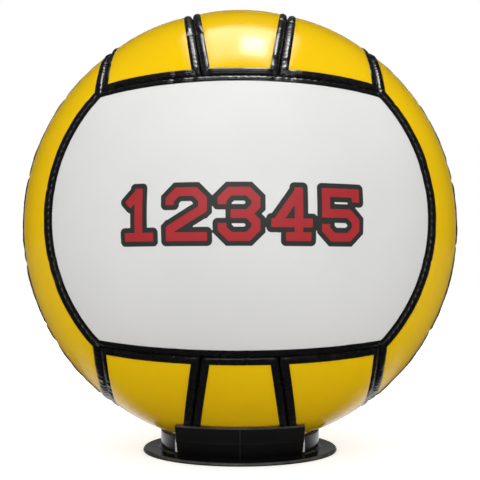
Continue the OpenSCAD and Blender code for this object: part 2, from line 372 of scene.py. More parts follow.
def panel_sides(name, radius):
    """The four sides of a panel in order round it: an end, a long side, the other end, the other side."""
    if name == "front":
        face = FACES["front"]
        return [Side(seam(face, FACES[n]), face, radius) for n in ("left", "top", "right", "bottom")]
    face_name, strip = name.split("_")
    face = FACES[face_name]
    place = STRIP_NAMES[face_name].index(strip) - 1
    x = across(face)
    circles = [
        seam(face, along(face)),
        seam(face, x) if place > 0 else strip_seam(face, -x if place < 0 else x, radius),
        seam(face, -along(face)),
        seam(face, -x) if place < 0 else strip_seam(face, x if place > 0 else -x, radius),
    ]
    return [Side(c, strip_middle(face, place, radius), radius) for c in circles]


# The cover's relief


def wander(v, pitch, phase):
    """A slow wander between -1 and 1 along a length: the mean of four sines of unrelated pitches."""
    shares = np.array([1.0, 0.618, 0.391, 0.243])
    starts = phase * np.array([1.7, 2.9, 4.3, 5.9])
    return np.sin(2 * pi * v[..., None] / (pitch * shares) + starts).mean(-1)


def hump(turn):
    """1 at each whole turn and 0 half a turn on: (1 + cos) / 2."""
    return 0.5 + 0.5 * np.cos(turn)


def smooth_step(start, end, x):
    """0 before the start, 1 past the end, and 3t^2 - 2t^3 between. The start may be above the end."""
    t = np.clip((x - start) / (end - start), 0, 1)
    return t * t * (3 - 2 * t)


def roll(ball, inset):
    """How far a rolled edge lies below its border with the panel, at an inset from the seam. From its crown
    it falls to the seam as a quarter of an ellipse with a last steep drop t^8, and to the border as t^2."""
    crown = ball.edge_width * 0.66
    inner = np.clip((crown - inset) / crown, 0, 1)
    outer = np.clip((inset - crown) / (ball.edge_width - crown), 0, 1)
    steep = ball.groove * (0.62 * (1 - np.sqrt(1 - inner**2)) + 0.38 * inner**8)
    return steep - ball.bulge * (1 - outer**2)


def surface_drop(ball, sides, p, valve=False):
    """How far the cover lies below the ball's sphere at directions p: the panel sinks towards its edges,
    the edge is a roll along the seam, the stitches pull dents into it, here and there a wrinkle crosses it,
    and nothing stands proud where the ball rests on its stand."""
    w = ball.edge_width
    gaps = [s.distance(p) for s in sides]
    nearest = np.minimum.reduce(gaps)
    level = np.prod([1 - np.exp(-np.maximum(d - w, 0) / SINK_REACH) for d in gaps], axis=0)
    drop = ball.sink * (1 - level) + np.where(nearest < w, roll(ball, nearest), 0)
    for s, d in zip(sides, gaps):
        v = s.station(p)
        phase = 3.1 * (s.axis @ np.array([1.0, 1.7, 2.3])) + 2.0
        beat = hump(2 * pi * v / ball.stitch + 0.9 * wander(v, 0.023, phase)) ** 2
        depth = ball.pucker * (0.62 + 0.5 * wander(v, 0.017, phase + 1.3)) * beat
        lump = LUMP * wander(v, LUMP_PITCH, phase + 0.4 + s.sign)
        folds = hump(2 * pi * v / WRINKLE_PITCH + 2.2 * wander(v, 0.06, phase) + phase)
        near = np.exp(-((np.maximum(d, 0) - PUCKER_INSET) / PUCKER_REACH) ** 2)
        crest = np.exp(-((d - CREST_INSET) / CREST_REACH) ** 2)
        far = np.exp(-np.maximum(d - w, 0) / PUCKER_FADE) * PUCKER_BEYOND
        on_edge = smooth_step(w + 0.001, w - 0.001, d)
        drop = drop + depth * (near + far) + (lump + WRINKLE * folds**WRINKLE_POWER) * crest * on_edge
    pinch = np.exp(-((np.linalg.norm(p - PINCH, axis=-1) * ball.radius / PINCH_REACH) ** 2))
    drop = drop + PINCH_DEPTH * pinch * smooth_step(w + 0.0012, w - 0.0010, nearest)
    drop = drop + np.maximum(-drop, 0) * smooth_step(SEAT_FROM, SEAT_TO, -p[..., 2])
    if valve:
        away = np.hypot(p[..., 0], p[..., 2]) * ball.radius
        drop = drop + VALVE_DIP * np.exp(-((np.maximum(away - VALVE_HOLE, 0) / VALVE_REACH) ** 2))
    return drop


# Pieces of the cover


def side_curve(side, start, end, inset, steps):
    """Directions along a side at an inset, evenly from one corner to the next."""
    return side.point(inset, np.linspace(side.turn(start), side.turn(end), steps))


def panel_directions(ball, sides, across_count, along_count):
    """A grid of directions over a panel inside its edge: the four sides blended as a Coons patch, so each
    point is the two blends between opposite sides less the blend of the four corners, put on the sphere."""
    w = ball.edge_width
    c01, c12, c23, c30 = (meeting(sides[i], sides[(i + 1) % 4], w) for i in range(4))
    first = side_curve(sides[0], c30, c01, w, across_count)[None]
    last = side_curve(sides[2], c23, c12, w, across_count)[None]
    low = side_curve(sides[3], c30, c23, w, along_count)[:, None]
    high = side_curve(sides[1], c01, c12, w, along_count)[:, None]
    s = np.linspace(0, 1, across_count)[None, :, None]
    t = np.linspace(0, 1, along_count)[:, None, None]
    blend = (1 - t) * first + t * last + (1 - s) * low + s * high
    corners = (1 - s) * (1 - t) * c30 + s * (1 - t) * c01 + (1 - s) * t * c23 + s * t * c12
    return unit(blend - corners)


def edge_directions(ball, sides):
    """Directions over the edge of a panel, as rows across it and columns round it. Each row keeps one
    inset from the seam, runs side by side round the panel and turns where two sides meet."""
    turn = np.linspace(0, pi / 2, 13)
    insets = SEAM_GAP / 2 + (ball.edge_width - SEAM_GAP / 2) * (1 - np.cos(turn))
    parts = []
    for i, s in enumerate(sides):
        start, end = meeting(sides[i - 1], s, insets), meeting(s, sides[(i + 1) % 4], insets)
        a, b = s.turn(start), s.turn(end)
        count = max(8, int(abs(s.station(end[0]) - s.station(start[0])) / EDGE_SPACING))
        parts.append(s.point(insets[:, None], a[:, None] + (b - a)[:, None] * np.arange(count) / count))
    return insets, np.concatenate(parts, axis=1)


def placed(ball, p, radius):
    """Directions at a radius, about the ball's centre."""
    return p * np.asarray(radius)[..., None] + np.array([0, 0, ball.height])


def panel_shell(ball, name):
    """A panel as a closed shell: its outer face, an inner face on the lining, and the rim between them. The
    valve's panel has a round hole, whose border points are moved out or in on to the circle."""
    sides = panel_sides(name, ball.radius)
    valve = name == VALVE_PANEL
    counts = FRONT_GRID if name == "front" else VALVE_GRID if valve else STRIP_GRID
    p = panel_directions(ball, sides, *counts)
    keep = np.ones((p.shape[0] - 1, p.shape[1] - 1), bool)
    if valve:
        away = np.hypot(p[..., 0], p[..., 2]) * ball.radius
        keep = away[:-1, :-1] + away[:-1, 1:] + away[1:, 1:] + away[1:, :-1] > 4 * VALVE_HOLE
        scale = np.where(border(keep) & (away < 2 * VALVE_HOLE), VALVE_HOLE / away, 1.0)
        p = unit(np.stack([p[..., 0] * scale, p[..., 1], p[..., 2] * scale], -1))
    outer = placed(ball, p, ball.radius - surface_drop(ball, sides, p, valve))
    points, faces, at = skin(outer, placed(ball, p, ball.radius - COVER_THICKNESS), keep)
    return points, faces, np.minimum.reduce([s.distance(p) for s in sides]).reshape(-1)[at]


def edge_shell(ball, name):
    """The black edge of a panel as a closed ring: the rolled face, the wall beside the panel, the back and
    the wall in the seam, in turn round its section. Its UV is the station round it and the inset, in metres,
    with the walls laid out beyond both borders."""
    sides = panel_sides(name, ball.radius)
    insets, p = edge_directions(ball, sides)
    rolled = placed(ball, p, ball.radius - surface_drop(ball, sides, p))
    points = np.concatenate([rolled, placed(ball, p[[-1, 0]], ball.radius - COVER_THICKNESS)])
    rows, cols = points.shape[:2]
    points = points.reshape(-1, 3)
    quads = grid_faces(rows, cols, True)
    faces = outward(points, [quads])
    r, c = grid(rows, cols, True)
    steps = np.linalg.norm(np.diff(np.concatenate([rolled[-1], rolled[-1][:1]]), axis=0), axis=1)
    station = np.concatenate([[0], np.cumsum(steps)])
    beyond = 0.002
    inset = np.concatenate([insets, [ball.edge_width + beyond, -beyond, insets[0]]])
    uv = np.stack([station[c], inset[r]], -1)
    if faces[0] is not quads:
        uv = uv[:, ::-1]
    return points, faces, uv.reshape(-1, 2)


def stitches(ball):
    """The thread of every seam: short bars laid over the seam at even stations, each a closed six-sided
    tube along a shallow arc, u round the tube and v from end to end."""
    circles = [(*seam(a, b), corner(a + b + np.cross(a, b))) for a, b in combinations(FACES.values(), 2) if a @ b == 0]
    for name in STRIP_NAMES:
        sides = panel_sides(f"{name}_middle", ball.radius)
        for sign, side in ((-1, sides[3]), (1, sides[1])):
            circle = strip_seam(FACES[name], sign * across(FACES[name]), ball.radius)
            circles.append((*circle, meeting(sides[0], side, 0.0)))
    u, v = np.linspace(0, 2 * pi, 7)[:-1], np.linspace(-1, 1, 6)
    one = grid_faces(len(v), len(u), False)
    lengthwise, round_it = v[None, :, None, None], u[None, None, :, None]
    thick = THREAD_RADIUS * np.sqrt(np.clip(1.05 - lengthwise**2, 0.05, 1))
    shells = []
    for *circle, end in circles:
        s = Side(circle, circle[2], ball.radius)
        half = int((abs(s.station(end)) - THREAD_FREE) / ball.stitch)
        turn = np.arange(-half, half + 1) * ball.stitch / (sin(s.angle) * ball.radius)
        at = s.point(0.0, turn)
        tangent = unit(np.cross(s.axis, at))
        slant = (np.cross(at, tangent) * THREAD_ACROSS + tangent * THREAD_ALONG)[:, None, None]
        at, tangent = at[:, None, None], tangent[:, None, None]
        centre = at * (ball.radius - THREAD_DEPTH - THREAD_SAG * lengthwise**2) + lengthwise * slant
        ring = np.cos(round_it) * at + np.sin(round_it) * tangent
        points = (centre + thick * ring + np.array([0, 0, ball.height])).reshape(-1, 3)
        starts = np.arange(len(turn))[:, None] * len(v) * len(u)
        first = starts + np.arange(len(u))
        faces = [(starts[:, None] + one).reshape(-1, 4),
                 np.concatenate([first[:, ::-1], first + (len(v) - 1) * len(u)])]
        shells.append((points, outward(points, faces)))
    return join(shells)


# Player's number


def stroke_distance(at, paths, half):
    """How far flat points lie outside strokes of a half width: the signed distance from a box along each
    part of a path, with square ends, and from an eight-sided joint at each turn."""
    nearest = np.full(at.shape[:-1], np.inf)
    for path in paths:
        path = np.array(path)
        for k, (a, b) in enumerate(zip(path[:-1], path[1:])):
            step = unit(b - a)
            t = (at - a) @ step
            wide = np.abs((at - a) @ np.array([-step[1], step[0]])) - half
            past_end = t - np.linalg.norm(b - a) - half * (k == len(path) - 2)
            beyond = np.maximum(-t - half * (k == 0), past_end)
            box = np.hypot(np.maximum(wide, 0), np.maximum(beyond, 0)) + np.minimum(np.maximum(wide, beyond), 0)
            nearest = np.minimum(nearest, box)
        for turn in path[1:-1]:
            away = np.abs(at - turn)
            nearest = np.minimum(nearest, np.maximum(away.max(-1), away.sum(-1) / sqrt(2)) - half)
    return nearest


def printed(ball, paths, spare, lift):
    """Ink as a thin closed skin: the cells of a fine flat grid that lie in the strokes, or a spare distance
    round them, with the points on their border moved on to the exact line. The flat form is wrapped on the
    ball's front as on a globe."""
    cell, margin = PRINT_CELL, 2 * (STROKE_HALF + spare)
    ends = np.concatenate([np.array(path) for path in paths])
    low, high = ends.min(0) - margin, ends.max(0) + margin
    at = np.stack(np.meshgrid(np.arange(low[0], high[0], cell), np.arange(low[1], high[1], cell)), -1)
    past = stroke_distance(at, paths, STROKE_HALF) - spare
    keep = past[:-1, :-1] + past[:-1, 1:] + past[1:, 1:] + past[1:, :-1] < 0
    slope = np.stack(np.gradient(past, cell)[::-1], -1)
    move = past[..., None] * slope / np.maximum((slope**2).sum(-1, keepdims=True), 0.2)
    at = at - np.clip(move, -0.7 * cell, 0.7 * cell) * border(keep)[..., None]
    lon, lat = at[..., 0] / ball.radius, at[..., 1] / ball.radius
    p = np.stack([np.cos(lat) * np.sin(lon), -np.cos(lat) * np.cos(lon), np.sin(lat)], -1)
    return skin(placed(ball, p, ball.radius + lift), placed(ball, p, ball.radius - PRINT_ROOT), keep)[:2]


def number_paths():
    """Centre lines of the digits one to five in block style, in metres about the panel's middle."""
    x, y, c, hook = 0.0069, 0.0092, 0.0032, 0.0036
    arch = [(-x, y - hook), (-x, y - c), (c - x, y), (x - c, y), (x, y - c)]
    bowl = [(px, -py) for px, py in arch[::-1]]
    one = [[(-0.0046, y - 0.0038), (-0.0016, y - 0.0008)], [(-0.0008, y), (-0.0008, -y)], [(-0.0056, -y), (0.0040, -y)]]
    two = [[*arch, (x, 0.0020), (-x, 0.0030 - y), (-x, -y)], [(-x, -y), (x, -y)]]
    three = [[*arch, (x, c), (x - c, 0), (x, -c), *bowl], [(-0.0016, 0), (x - c, 0)]]
    four = [[(0.0028, -y), (0.0028, y)], [(-x, -0.0036), (x, -0.0036)],
            [(0.0018, y - 0.0012), (0.0008 - x, -0.0030)], [(-0.0008, -y), (0.0064, -y)]]
    five = [[(x, y - 0.0020), (x, y)], [(x, y), (-x, y)], [(-x, y), (-x, 0.0006)],
            [(-x, 0.0006), (x - c, 0.0006), (x, 0.0006 - c), *bowl]]
    places = ((-0.0424, one), (-0.0222, two), (-0.0004, three), (0.0215, four), (0.0430, five))
    return [[(px + place, py - 0.0007) for px, py in path] for place, digit in places for path in digit]


# Stand


def rounded(points, radii, steps=5):
    """A closed outline with its corners rounded: each corner becomes an arc that leaves both its sides at
    radius / tan(half the corner's angle) from the corner."""
    points = np.array(points, float)
    out = []
    for i, (p, r) in enumerate(zip(points, radii)):
        a, b = unit(points[i - 1] - p), unit(points[(i + 1) % len(points)] - p)
        half = acos(np.clip(a @ b, -1, 1)) / 2
        if r <= 0 or half > 1.55:
            out.append(p[None])
            continue
        leave = r / tan(half)
        centre = p + unit(a + b) * r / sin(half)
        start, end = p + a * leave - centre, p + b * leave - centre
        t = np.linspace(0, 1, steps)[:, None]
        out.append(centre + unit((1 - t) * start + t * end) * r)
    return np.concatenate(out)


def swept(outline, angle):
    """A closed outline of (radius, height) points carried round the upright axis. Each step has an angle
    for every point of the outline, so an end may be cut by a plane."""
    r, z = outline[:, 0], outline[:, 1]
    return np.stack([r * np.cos(angle), r * np.sin(angle), np.broadcast_to(z, angle.shape)], -1).reshape(-1, 3)


def ring_shell(outline, steps):
    """A closed outline revolved all the way round."""
    angle = np.linspace(0, 2 * pi, steps, endpoint=False)[:, None] + np.zeros(len(outline))
    points = swept(outline, angle)
    return points, outward(points, [grid_faces(steps, len(outline), True)])


def wall_shell(outline, centre, half_angle, steps):
    """A closed outline carried round from one end to the other. half_angle gives each radius its own half
    turn, so that both ends are flat, and each end is closed by one face."""
    points = swept(outline, centre + np.linspace(-1, 1, steps)[:, None] * half_angle(outline[:, 0])[None])
    first = np.arange(len(outline))[None]
    ends = [first[:, ::-1], (steps - 1) * len(outline) + first]
    return points, outward(points, [grid_faces(steps, len(outline), False)] + ends)


def stand_shells(s, ball):
    """The foot, two low walls whose rims carry the ball, and two tall tabs, which lean out along it. Every
    wall runs down into the foot."""
    t, foot, outer = s.wall_thickness, s.foot_thickness, s.wall_radius
    inner, middle = outer - t, outer - t / 2
    rim = ball.radius + s.clearance + t / 2
    low_top = ball.height - sqrt(rim**2 - middle**2) + t / 2
    tab_top = s.tab_height - t / 2
    tab_reach = sqrt(rim**2 - (ball.height - tab_top) ** 2)
    step_width, step_height, soft = 0.0012, 0.0007, t * 0.48
    foot_line = rounded(
        [(inner, 0), (s.foot_radius, 0), (s.foot_radius, foot), (outer + step_width, foot),
         (outer, foot + step_height), (inner, foot + step_height)],
        [0.0002, 0.0003, 0.0013, 0.0006, 0.0003, 0.0003], 9)
    low_line = rounded([(inner, foot * 0.6), (outer, foot * 0.6), (outer, low_top), (inner, low_top)],
                       [0, 0, soft, soft], 9)
    root, head = np.array([middle, foot / 2]), np.array([tab_reach, tab_top])
    lean = unit(head - root)
    flat = np.array([lean[1], -lean[0]]) * t / 2
    top = head + lean * t / 2
    tab_line = rounded([root - flat, root + flat + lean * 0.0004, top + flat, top - flat], [0, 0, soft, soft], 9)
    tab_line[:, 1] = np.maximum(tab_line[:, 1], foot * 0.45)
    low_end, tab_end = s.tab_width / 2 + s.slit, s.tab_width / 2
    shells = [ring_shell(foot_line, 288)]
    for centre in (0.0, pi):
        shells.append(wall_shell(low_line, centre, lambda r: np.arccos(low_end / r), 72))
    for centre in (-pi / 2, pi / 2):
        shells.append(wall_shell(tab_line, centre, lambda r: np.arcsin(tab_end / r), 120))
    return join(shells)


# Materials


class Nodes:
    """The cleared nodes of a material or a world, with short calls to add and join them."""

    def __init__(self, owner, kind="Material"):
        owner.use_nodes = True
        self.owner, self.tree = owner, owner.node_tree
        self.tree.nodes.clear()
        self.surface = self.add(f"ShaderNodeOutput{kind}").inputs["Surface"]

    def put(self, socket, value):
        """Joins an output to an input, or gives the input a plain value."""
        if isinstance(value, bpy.types.NodeSocket):
            self.tree.links.new(value, socket)
        else:
            socket.default_value = value

    def add(self, kind, **settings):
        """A node. A setting goes to the input of its name, with _ for a space, or else to the node."""
        node = self.tree.nodes.new(kind)
        for key, value in settings.items():
            socket = node.inputs.get(key.replace("_", " "))
            if socket is None:
                setattr(node, key, value)
            else:
                self.put(socket, value)
        return node

    def fill(self, node, places, values):
        """Gives a node's inputs at these places their values."""
        for place, value in zip(places, values):
            self.put(node.inputs[place], value)
        return node

    def principled(self, **values):
        """Ends a material in a Principled shader and returns it."""
        self.put(self.surface, self.add("ShaderNodeBsdfPrincipled", **values).outputs[0])
        return self.owner

    def place(self, kind="Object"):
        return self.add("ShaderNodeTexCoord").outputs[kind]

    def split(self, vector):
        return self.add("ShaderNodeSeparateXYZ", Vector=vector).outputs[:3]

    def scaled(self, vector, scale):
        return self.add("ShaderNodeMapping", Vector=vector, Scale=scale).outputs[0]

    def noise(self, at, scale, detail=3.0, roughness=0.5):
        node = self.add("ShaderNodeTexNoise", Vector=at, Scale=scale, Detail=detail, Roughness=roughness)
        return node.outputs["Fac"]

    def wave(self, **settings):
        return self.add("ShaderNodeTexWave", **settings).outputs["Fac"]

    def spread(self, *values):
        """A value carried from one range, low to high, to another, or to 0 to 1."""
        return self.fill(self.add("ShaderNodeMapRange", clamp=True), range(5), values).outputs[0]

    def math(self, operation, total, *values):
        """One value alone, or two or more in turn, put through an operation."""
        for value in values or (0.0,):
            total = self.fill(self.add("ShaderNodeMath", operation=operation), (0, 1), (total, value)).outputs[0]
        return total

    def times(self, *values):
        return self.math("MULTIPLY", *values)

    def plus(self, *values):
        return self.math("ADD", *values)

    def away(self, x, y):
        """The length of a flat vector."""
        return self.math("SQRT", self.plus(self.math("POWER", x, 2.0), self.math("POWER", y, 2.0)))

    def mix(self, *values):
        """A share, and the colours at a share of 0 and of 1."""
        return self.fill(self.add("ShaderNodeMix", data_type="RGBA"), (0, 6, 7), values).outputs[2]

    def blend(self, *values):
        """A share, and the shaders at a share of 0 and of 1."""
        return self.fill(self.add("ShaderNodeMixShader"), range(3), values).outputs[0]

    def bump(self, height, distance, strength, **under):
        return self.add("ShaderNodeBump", Height=height, Distance=distance, Strength=strength, **under).outputs[0]

    def glow(self, strength):
        return self.add("ShaderNodeEmission", Strength=strength).outputs[0]


def new_material(name):
    """A new material's nodes, and the Object coordinates that they read."""
    n = Nodes(bpy.data.materials.new(name))
    return n, n.place()


def shade(colour, factor=1.0):
    """A colour made lighter or darker, with an alpha of one."""
    return tuple(min(1.0, c * factor) for c in colour[:3]) + (1.0,)


def vinyl(name, colour, roughness, grain, edge_shade):
    """Smooth coated vinyl: a faint cloudiness, a fine orange-peel grain from two noises, patches of
    handling that dull it a little, and painted shade in patches beside the black edge, where the panel dips to the
    seam."""
    n, at = new_material(name)
    cloud = n.spread(n.noise(at, 14.0), 0.35, 0.65)
    fleck = n.spread(n.noise(at, 2600.0, 2.0, 0.6), 0.66, 0.78, 0.0, 0.10)
    base = n.mix(fleck, n.mix(cloud, shade(colour, 0.975), shade(colour, 1.02)), shade(colour, 0.72))
    inset = n.add("ShaderNodeAttribute", attribute_name="edge_distance").outputs["Fac"]
    patches = n.spread(n.noise(at, 180.0, 4.0), 0.3, 0.7, 0.2, 1.0)
    # Painted shade: the colour darkens in patches beside the black edge, where the panel dips to the seam
    painted_edge_shade = n.times(n.spread(inset, 0.0036, 0.0062, edge_shade, 0.0), patches)
    peel = n.bump(n.noise(at, 620.0, 2.0), 0.00003 * grain, 0.6)
    return n.principled(
        Base_Color=n.mix(painted_edge_shade, base, shade(colour, 0.45)),
        Roughness=n.spread(n.noise(at, 34.0, 4.0, 0.6), 0.3, 0.7, roughness * 0.82, roughness * 1.25),
        Normal=n.bump(n.noise(at, 2400.0, 2.0, 0.6), 0.00001 * grain, 0.6, Normal=peel))


def edge_vinyl(colour):
    """Glossy black vinyl pulled tight over a sewn roll: creases that run across the roll between stitches,
    finer crumples down in the seam, and a duller, dusty groove."""
    n, at = new_material("black_edge_vinyl")
    uv = n.place("UV")
    low = n.spread(n.split(uv)[1], 0.0002, 0.0026, 1.0, 0.0)
    crease = n.noise(n.scaled(uv, (1.0, 0.22, 1.0)), 480.0, 3.0, 0.55)
    crumple, grain = n.noise(at, 1300.0, 3.0, 0.6), n.noise(at, 2600.0, 2.0, 0.6)
    height = n.plus(n.times(crease, 0.8), n.times(crumple, low, 0.7), n.times(grain, 0.16))
    dust = n.times(low, n.spread(n.noise(at, 420.0, 5.0, 0.65), 0.5, 0.75, 0.0, 0.5))
    return n.principled(
        Base_Color=n.mix(dust, shade(colour), (0.055, 0.053, 0.05, 1.0)),
        Roughness=n.spread(n.noise(at, 75.0, 4.0), 0.3, 0.7, 0.19, 0.38),
        Coat_Weight=0.5, Coat_Roughness=0.09, Normal=n.bump(height, 0.00012, 0.7))


def thread_material():
    """Black twisted thread: fine slanted ribs and a little fuzz."""
    n, at = new_material("black_thread")
    rib = n.wave(Vector=at, Scale=1900.0, Distortion=2.0, Detail=1.0, bands_direction="DIAGONAL")
    fuzz = n.mix(n.noise(at, 900.0, 2.0), (0.006, 0.006, 0.006, 1.0), (0.024, 0.024, 0.023, 1.0))
    return n.principled(Base_Color=fuzz, Roughness=0.6, Normal=n.bump(rib, 0.00006, 0.8))


def ink_material(name, colour, roughness):
    """Screen-printed ink: slightly uneven cover and a fine mesh of pinholes."""
    n, at = new_material(name)
    cover = n.spread(n.noise(at, 60.0, 4.0), 0.3, 0.7)
    holes = n.spread(n.noise(at, 2200.0, 2.0, 0.7), 0.68, 0.8, 0.0, 0.35)
    base = n.mix(holes, n.mix(cover, shade(colour, 0.92), shade(colour, 1.06)), shade(colour, 1.5))
    return n.principled(Base_Color=base, Roughness=roughness, Normal=n.bump(n.noise(at, 1500.0, 2.0), 0.00002, 0.5))


def moulded_plastic(colour):
    """Glossy moulded plastic: a faint flow pattern, fine rubbed scratches that run round, a parting line on
    both tabs, a painted highlight that makes the foot's rim, the tabs' tops and the parting line paler, and a little
    dust on the top of the foot."""
    n, at = new_material("black_moulded_plastic")
    x, y, z = n.split(at)
    scratch = n.noise(n.scaled(at, (1.0, 1.0, 14.0)), 700.0, 4.0, 0.65)
    line = n.spread(n.math("ABSOLUTE", x), 0.00008, 0.0003, 1.0, 0.0)
    height = n.plus(n.times(scratch, 0.08), n.plus(n.times(n.noise(at, 26.0), 0.4), n.times(line, 0.6)))
    # Painted highlight: the foot's rim, the tabs' tops and the parting line are coloured paler and made rougher
    on_foot = n.times(n.spread(z, 0.0002, 0.0009), n.spread(z, 0.002, 0.003, 1.0, 0.0))
    foot_rim = n.times(n.spread(n.away(x, y), 0.0486, 0.0491), on_foot)
    tab_rim = n.math("MAXIMUM", n.spread(z, 0.0180, 0.0187), n.times(line, 0.3))
    patches = n.spread(n.noise(at, 110.0, 4.0, 0.6), 0.3, 0.7, 0.45, 1.0)
    painted_rim_highlight = n.times(n.math("MAXIMUM", foot_rim, tab_rim), patches)
    speck = n.spread(n.noise(at, 1500.0, 3.0, 0.7), 0.70, 0.78, 0.0, 0.10)
    dust = n.times(speck, n.spread(z, 0.002, 0.004, 1.0, 0.25))
    # The plastic's colour with the painted highlight on its rims and parting line
    painted_highlight_colour = n.mix(painted_rim_highlight, shade(colour), (0.11, 0.11, 0.115, 1.0))
    return n.principled(
        Base_Color=n.mix(dust, painted_highlight_colour, (0.16, 0.155, 0.15, 1.0)),
        Roughness=n.plus(n.spread(scratch, 0.45, 0.75, 0.09, 0.17), n.times(painted_rim_highlight, 0.2)),
        Normal=n.bump(height, 0.00012, 0.5))


def rubber(name, colour, roughness, scale):
    """Matt rubber: a fine talc bloom and a pebbled skin."""
    n, at = new_material(name)
    bloom = n.spread(n.noise(at, scale * 0.12, 5.0, 0.6), 0.45, 0.75, 0.0, 0.4)
    pebbles = n.bump(n.noise(at, scale, 3.0, 0.6), 0.00008, 0.6)
    return n.principled(Base_Color=n.mix(bloom, shade(colour), shade(colour, 2.6)), Roughness=roughness, Normal=pebbles)


def lining_cloth():
    """Woven lining: warp and weft as two crossed waves, with uneven yarns."""
    n, at = new_material("lining_cloth")
    weave = n.times(*(n.wave(Vector=at, Scale=320.0, Distortion=0.6, bands_direction=d) for d in "XZ"))
    base = n.mix(weave, (0.50, 0.47, 0.41, 1.0), (0.74, 0.71, 0.64, 1.0))
    return n.principled(Base_Color=base, Roughness=0.85, Normal=n.bump(weave, 0.0002, 0.8))


def dress(name, material):
    """Gives a CAD node that stays in view a material of its own."""
    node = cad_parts[name]
    node.data.materials.clear()
    node.data.materials.append(material)


# Operators


class BALL_OT_panels(bpy.types.Operator):
    """Make the white front panel and the yellow strip panels"""

    bl_idname = "ball.panels"
    bl_label = "Panels"

    def execute(self, context):
        ball = context.scene.ball_settings
        white = vinyl("white_cover_vinyl", ball.white, 0.40, 1.3, 0.10)
        yellow = vinyl("yellow_cover_vinyl", ball.yellow, 0.14, 0.7, 0.22)
        for name in PANELS:
            points, faces, edge_distance = panel_shell(ball, name)
            material, slot = (white, "white_cover") if name == "front" else (yellow, "yellow_cover")
            piece(f"cover_{name}", points, faces, material, "ball", slot, [f"panel_{name}"],
                  edge_distance=edge_distance)
        return {"FINISHED"}


class BALL_OT_edges(bpy.types.Operator):
    """Make the black edges that roll down into the seams"""

    bl_idname = "ball.edges"
    bl_label = "Black edges"

    def execute(self, context):
        ball = context.scene.ball_settings
        black = edge_vinyl(ball.black)
        for name in PANELS:
            points, faces, uv = edge_shell(ball, name)
            piece(f"rolled_edge_{name}", points, faces, black, "ball", "black_edge", [f"edge_{name}"], uv=uv, sharp=50)
        return {"FINISHED"}


class BALL_OT_thread(bpy.types.Operator):
    """Make the stitches in the seams"""

    bl_idname = "ball.thread"
    bl_label = "Stitches"

    def execute(self, context):
        made = stitches(context.scene.ball_settings)
        piece("seam_stitches", *made, thread_material(), "ball", "black_edge", sharp=0)
        return {"FINISHED"}


class BALL_OT_number(bpy.types.Operator):
    """Print a plain number on the front panel"""

    bl_idname = "ball.number"
    bl_label = "Player's number"

    def execute(self, context):
        ball = context.scene.ball_settings
        paths = number_paths()
        dark, red = ink_material("dark_ink", ball.ink_line, 0.42), ink_material("red_ink", ball.ink, 0.40)
        piece("number_outline", *printed(ball, paths, OUTLINE, OUTLINE_LIFT), dark, "ball", "white_cover")
        piece("number_face", *printed(ball, paths, 0.0, FACE_LIFT), red, "ball", "white_cover")
        return {"FINISHED"}


class BALL_OT_valve(bpy.types.Operator):
    """Make the valve's tube, with its flange inside the bladder, and its plug"""

    bl_idname = "ball.valve"
    bl_label = "Valve"

    def execute(self, context):
        ball = context.scene.ball_settings
        black = rubber("valve_rubber", (0.016, 0.016, 0.016), 0.5, 1400.0)
        # Outlines of distances from the valve's axis and from the ball's centre
        tube = rounded(
            [(0.0030, 0.10166), (0.0130, 0.10087), (0.0130, 0.10248), (0.0055, 0.10315), (0.0055, 0.10975),
             (0.0049, 0.10995), (0.0036, 0.10985), (0.0030, 0.1096)],
            [0.0, 0.0004, 0.0004, 0.0002, 0.0003, 0.0003, 0.0003, 0.0003])
        plug = rounded(
            [(0.0, 0.0995), (0.0050, 0.0995), (0.0050, 0.10147), (0.00295, 0.10147), (0.00295, 0.10955),
             (0.0016, 0.1096), (0.0011, 0.1092), (0.0011, 0.1032), (0.0, 0.1032)],
            [0.0, 0.0003, 0.0003, 0.0, 0.00025, 0.0002, 0.0001, 0.0, 0.0])
        for name, outline, node in (("valve_tube", tube, "valve_body"), ("valve_plug_moulding", plug, "valve_plug")):
            points, faces = ring_shell(outline, 96)
            points = points[:, [0, 2, 1]] + np.array([0, 0, ball.height])
            weld(piece(name, points, outward(points, faces), black, "ball", "valve_rubber", [node]))
        return {"FINISHED"}


class BALL_OT_inside(bpy.types.Operator):
    """Finish the lining and the bladder, which stay hidden in the ball"""

    bl_idname = "ball.inside"
    bl_label = "Lining and bladder"

    def execute(self, context):
        dress("lining", lining_cloth())
        dress("bladder", rubber("bladder_rubber", (0.02, 0.02, 0.021), 0.6, 700.0))
        return {"FINISHED"}


class BALL_OT_stand(bpy.types.Operator):
    """Mould the stand: the foot, the two low walls and the two tall tabs"""

    bl_idname = "ball.stand"
    bl_label = "Stand"

    def execute(self, context):
        stand = context.scene.stand_settings
        points, faces = stand_shells(stand, context.scene.ball_settings)
        plastic = moulded_plastic(stand.colour)
        made = piece("stand_moulding", points, faces, plastic, "stand", "stand_plastic", ["display_stand"])
        bevel = made.modifiers.new("soft_ends", "BEVEL")
        bevel.width, bevel.segments, bevel.limit_method, bevel.angle_limit = 0.00035, 3, "ANGLE", radians(50)
        bevel.harden_normals = True
        return {"FINISHED"}


